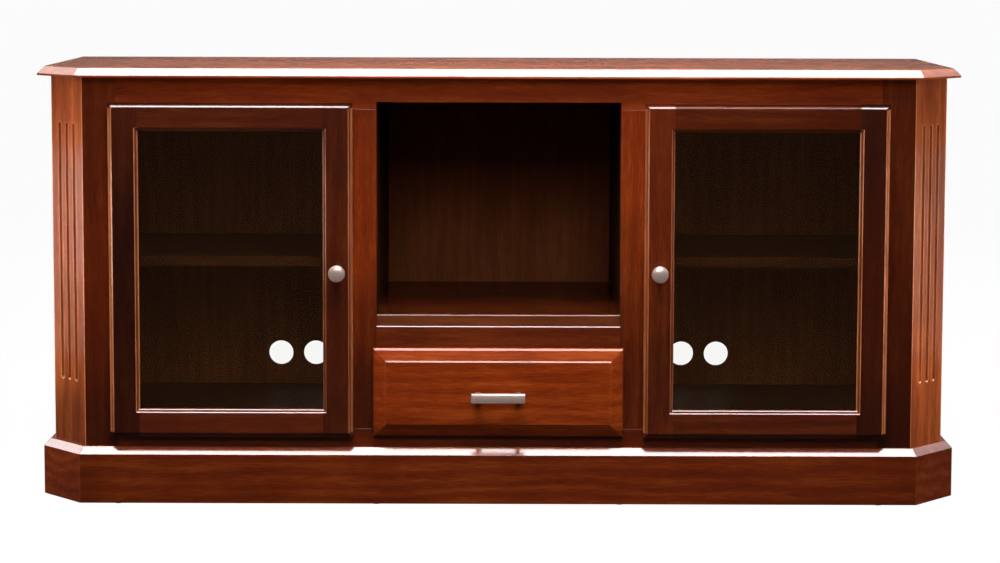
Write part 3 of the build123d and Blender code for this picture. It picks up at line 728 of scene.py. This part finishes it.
# Each door holds one pane of plain glass from behind, in a rabbet, under four wooden stops.
# The orange tint on the glass's reflections is a painted reflection colour.
glass, tree, output = new_material("door_glass")
glass_shader = place_node(
    tree,
    "ShaderNodeBsdfPrincipled",
    {
        "Base Color": (0.93, 0.92, 0.9, 1),
        "Roughness": 0.0,
        "IOR": 1.2,
        "Specular Tint": (1.0, 0.5, 0.25, 1),
        "Transmission Weight": 1.0,
    },
)
tree.links.new(glass_shader.outputs[0], output.inputs["Surface"])
for hand in ("left", "right"):
    dress(f"{hand}_door_glass", glass)
    keep_out_of_strips(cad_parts[f"{hand}_door_glass"])

# The knobs are turned metal mushrooms with a low domed face, in satin nickel. A threaded stud holds
# each one in its door.
KNOB_PLACE = (0.3033, -0.24, 0.444)
KNOB_TURNS = 64
KNOB_MERGE_DISTANCE = 0.000001
KNOB_STUD = ((0.0, 0.0125), (0.0022, 0.0125), (0.0025, 0.0122), (0.0025, 0.0))
KNOB_FOOT = ((0.0079, 0.0), (0.008, -0.0006), (0.0078, -0.0016), (0.0071, -0.003))
KNOB_NECK = ((0.0062, -0.0048), (0.0056, -0.0072), (0.0056, -0.0096), (0.0063, -0.0118))
KNOB_FLARE = ((0.0081, -0.0142), (0.0108, -0.0164), (0.0136, -0.0179), (0.0151, -0.0188))
KNOB_RIM = ((0.0158, -0.0201), (0.0159, -0.0217), (0.0158, -0.0233), (0.0153, -0.0246))
KNOB_DOME = (
    (0.0144, -0.0254),
    (0.0122, -0.0262),
    (0.0092, -0.0271),
    (0.0061, -0.0277),
    (0.003, -0.02795),
    (0.0, -0.028),
)
KNOB_PROFILE = (*KNOB_STUD, *KNOB_FOOT, *KNOB_NECK, *KNOB_FLARE, *KNOB_RIM, *KNOB_DOME)

# The nickel's warm tint is a painted reflection of the brown wood around it.
nickel = plain_finish("satin_nickel", (0.56, 0.4, 0.355), 0.3, metallic=0.85, grit=0.08)
for side, hand in ((-1, "left"), (1, "right")):
    turned = bmesh.new()
    middle = Vector((side * KNOB_PLACE[0], KNOB_PLACE[1], KNOB_PLACE[2]))
    points = [middle + Vector((radius, reach, 0.0)) for radius, reach in KNOB_PROFILE]
    ring = [turned.verts.new(point) for point in points]
    profile = [turned.edges.new(pair) for pair in zip(ring, ring[1:])]
    bmesh.ops.spin(
        turned,
        geom=ring + profile,
        cent=middle,
        axis=(0, 1, 0),
        angle=2 * math.pi,
        steps=KNOB_TURNS,
        use_merge=True,
    )
    bmesh.ops.remove_doubles(turned, verts=turned.verts, dist=KNOB_MERGE_DISTANCE)
    bmesh.ops.recalc_face_normals(turned, faces=turned.faces)
    mesh = bpy.data.meshes.new(f"{hand}_knob")
    turned.to_mesh(mesh)
    turned.free()
    mesh.shade_smooth()
    mesh.materials.append(nickel)
    knob = bpy.data.objects.new(f"{hand}_knob", mesh)
    scene.collection.objects.link(knob)
    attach(knob, f"{hand}_door")
    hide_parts(f"{hand}_door_knob")
    keep_out_of_strips(knob)

# Concealed hinges join the doors to the edge of the face frame: an arm, a pin and a cup each.
# They are zinc-plated steel, like the screws that hold the top.
for node in (
    "hinge_arms",
    "hinge_pins",
    "hinge_screws",
    "left_door_hinge_cups",
    "right_door_hinge_cups",
    "top_screws",
):
    dress(node, zinc)

# The drawer has a raised front of solid cherry on a box of pale hardwood with a grooved-in bottom.
# Painted shade darkens the bevel below the raised field, and painted light brightens the bevel
# above it.
BOX_COLORS = ((0.36, 0.23, 0.12, 1), (0.5, 0.36, 0.21, 1), (0.6, 0.46, 0.3, 1))
DRAWER_PAINTED_LIGHT = (
    (0.128, 0.5),
    (0.15, 0.56),
    (0.1515, 0.86),
    (0.22, 1.0),
    (0.273, 1.0),
    (0.277, 1.2),
)
drawer_cherry = stained_board(
    "drawer_cherry", "X", 0.86, 0.15, coat=0.3, wear_and_highlight=0.12, painted_light_by_height=DRAWER_PAINTED_LIGHT
)
dress("drawer_front", drawer_cherry, soft_edge=0.0003)
for node, along in (
    ("drawer_box_front", "X"),
    ("drawer_side_left", "Y"),
    ("drawer_side_right", "Y"),
    ("drawer_box_back", "X"),
    ("drawer_bottom", "X"),
):
    material = stained_board(
        f"{node}_wood", along, 1.0, 0.3, BOX_COLORS, coat=0.4, coat_roughness=0.3
    )
    dress(node, material)

# A flat bar pull in the same nickel has a lightly crowned face and two square posts. It is held
# from inside by two screws, and the drawer runs on three-member steel slides.
PULL_FRONT = -0.2645
PULL_BACK = -0.2585
PULL_FOOT = -0.2385
PULL_MIDDLE = 0.20825
PULL_HALF_LENGTH = 0.051
PULL_HALF_HEIGHT = 0.0095
PULL_CROWN = 0.0016
PULL_CROWN_STRIPS = 10
PULL_CORNER = 0.0035
PULL_CORNER_STEPS = 5
PULL_ROUNDING = 0.0015
PULL_ROUNDING_STEPS = 4
PULL_RIM_ANGLE = 1.0
PULL_POST_HALF_WIDTH = 0.0052
PULL_POST_PLACE = 0.038
PULL_POST_STEPS = 3


def round_off(mesh, edges, radius, steps):
    """Round the given edges of a mesh."""
    bmesh.ops.bevel(
        mesh, geom=edges, offset=radius, segments=steps, profile=0.5, affect="EDGES", material=-1
    )


bar = bmesh.new()
bmesh.ops.create_grid(
    bar,
    x_segments=1,
    y_segments=PULL_CROWN_STRIPS,
    size=1.0,
    matrix=Matrix.Translation((0.0, PULL_FRONT, PULL_MIDDLE))
    @ Matrix.Rotation(math.pi / 2, 4, "X")
    @ Matrix.Diagonal((PULL_HALF_LENGTH, PULL_HALF_HEIGHT, 1.0, 1.0)),
)
extruded = bmesh.ops.extrude_face_region(bar, geom=bar.faces[:])["geom"]
back_verts = {item for item in extruded if isinstance(item, bmesh.types.BMVert)}
for vert in bar.verts:
    if vert in back_verts:
        vert.co.y = PULL_BACK
    else:
        vert.co.y += PULL_CROWN * ((vert.co.z - PULL_MIDDLE) / PULL_HALF_HEIGHT) ** 2
bmesh.ops.recalc_face_normals(bar, faces=bar.faces)


def is_corner(edge):
    """Whether an edge of the bar runs from front to back at one of its four corners."""
    depth = abs(edge.verts[0].co.y - edge.verts[1].co.y)
    off_corner = min(
        abs(abs(vert.co.z - PULL_MIDDLE) - PULL_HALF_HEIGHT) for vert in edge.verts
    )
    return depth > (PULL_BACK - PULL_FRONT) / 2 and off_corner < MERGE_DISTANCE


def is_rim(edge):
    """Whether the two faces at an edge of the bar meet at a clear angle."""
    return len(edge.link_faces) == 2 and edge.calc_face_angle() > PULL_RIM_ANGLE


corners = [edge for edge in bar.edges if is_corner(edge)]
round_off(bar, corners, PULL_CORNER, PULL_CORNER_STEPS)
rim = [edge for edge in bar.edges if is_rim(edge)]
round_off(bar, rim, PULL_ROUNDING, PULL_ROUNDING_STEPS)
post_size = (
    2 * PULL_POST_HALF_WIDTH,
    PULL_FOOT - PULL_BACK,
    2 * (PULL_HALF_HEIGHT - PULL_CROWN),
    1.0,
)
for side in (-1, 1):
    post = bmesh.new()
    post_middle = (side * PULL_POST_PLACE, (PULL_BACK + PULL_FOOT) / 2, PULL_MIDDLE)
    bmesh.ops.create_cube(
        post, size=1.0, matrix=Matrix.Translation(post_middle) @ Matrix.Diagonal(post_size)
    )
    round_off(post, post.edges[:], PULL_ROUNDING, PULL_POST_STEPS)
    mesh = bpy.data.meshes.new("post")
    post.to_mesh(mesh)
    post.free()
    bar.from_mesh(mesh)
    bpy.data.meshes.remove(mesh)
bmesh.ops.recalc_face_normals(bar, faces=bar.faces)
mesh = bpy.data.meshes.new("bar_pull")
bar.to_mesh(mesh)
bar.free()
mesh.shade_smooth()
mesh.materials.append(nickel)
pull = bpy.data.objects.new("bar_pull", mesh)
scene.collection.objects.link(pull)
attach(pull, "drawer")
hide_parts("drawer_pull")
keep_out_of_strips(pull)
for node in ("pull_screws", "slide_outer_members", "slide_middle_members", "slide_inner_members"):
    dress(node, zinc)
